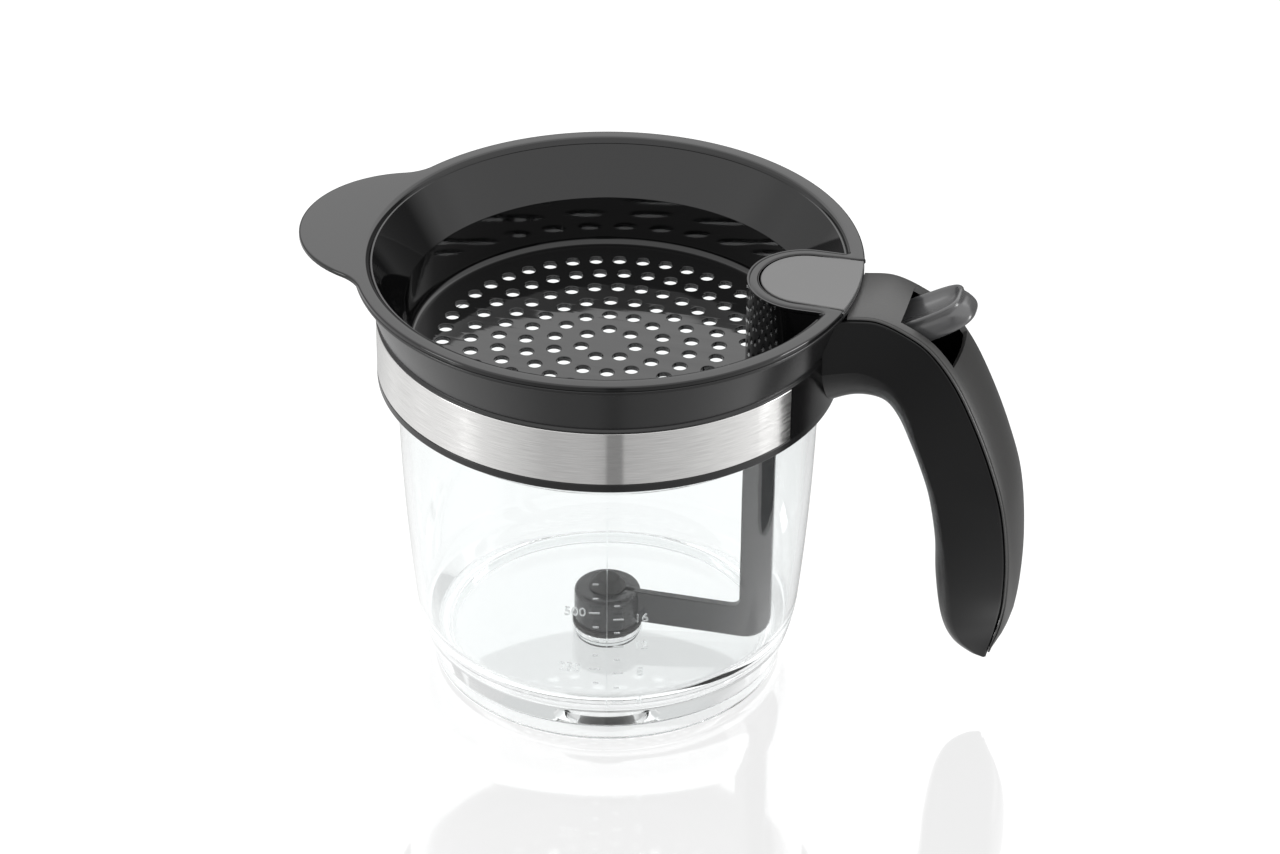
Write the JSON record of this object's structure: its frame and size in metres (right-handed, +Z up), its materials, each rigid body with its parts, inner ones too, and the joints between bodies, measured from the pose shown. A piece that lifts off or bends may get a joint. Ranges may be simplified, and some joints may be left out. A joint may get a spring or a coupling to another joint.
{
  "type": "gravy fat separator",
  "caption": "Clear jug with a black collar and pistol handle, a lift-off perforated strainer funnel, and a thumb lever that lifts a stopper in the floor drain.",
  "frame": {"origin": "centre of the jug's foot ring, in the plane it stands on, on the jug's axis", "axes": "+Z up along the jug's axis; +X out towards the handle and its thumb lever; +Y completes a right-handed frame; the lever's pin lies along Y"},
  "size_m": [0.229, 0.1562, 0.145],
  "materials": {
    "clear_plastic": "clear polished moulding with embossed measuring marks",
    "black_plastic": "smooth satin black moulding",
    "band_steel": "brushed along the band",
    "cover_plastic": "fine-grained satin, dark warm grey",
    "pin_steel": "plain drawn steel",
    "cap_plastic": "fine satin",
    "lever_plastic": "fine satin, a little lighter than the cover",
    "rod_plastic": "smooth moulding",
    "stopper_rubber": "soft moulded seal",
    "funnel_plastic": "polished black moulding",
    "plate_plastic": "polished black moulding, perforated"
  },
  "bodies": {
    "jug": {"jug_body": "clear_plastic", "handle_frame": "black_plastic", "collar_band": "band_steel", "handle_cover": "cover_plastic", "lever_pin": "pin_steel", "mechanism_cap": "cap_plastic", "rod_guide": "black_plastic", "closing_spring": "pin_steel"},
    "lever": {"thumb_lever": "lever_plastic"},
    "rod": {"lift_rod": "rod_plastic", "stopper_plug": "stopper_rubber"},
    "strainer": {"strainer_funnel": "funnel_plastic", "strainer_plate": "plate_plastic"}
  },
  "joints": [
    {"name": "lever_hinge", "type": "hinge", "parent": "jug", "child": "lever", "pos_m": [0.09, 0, 0.127], "axis": [0, 1, 0], "range_deg": [0, 13], "stiffness_Nm_per_rad": 0.27, "springref_deg": -6.88},
    {"name": "rod_slide", "type": "slide", "parent": "jug", "child": "rod", "axis": [0, 0, 1], "range_m": [0, 0.0075], "deforming": ["closing_spring"]},
    {"name": "strainer_lift", "type": "slide", "parent": "jug", "child": "strainer", "axis": [0, 0, 1], "range_m": [0, 0.06]}
  ],
  "couplings": [
    {"joint": "lever_hinge", "follows": "rod_slide", "rad_per_m": 30.2}
  ]
}
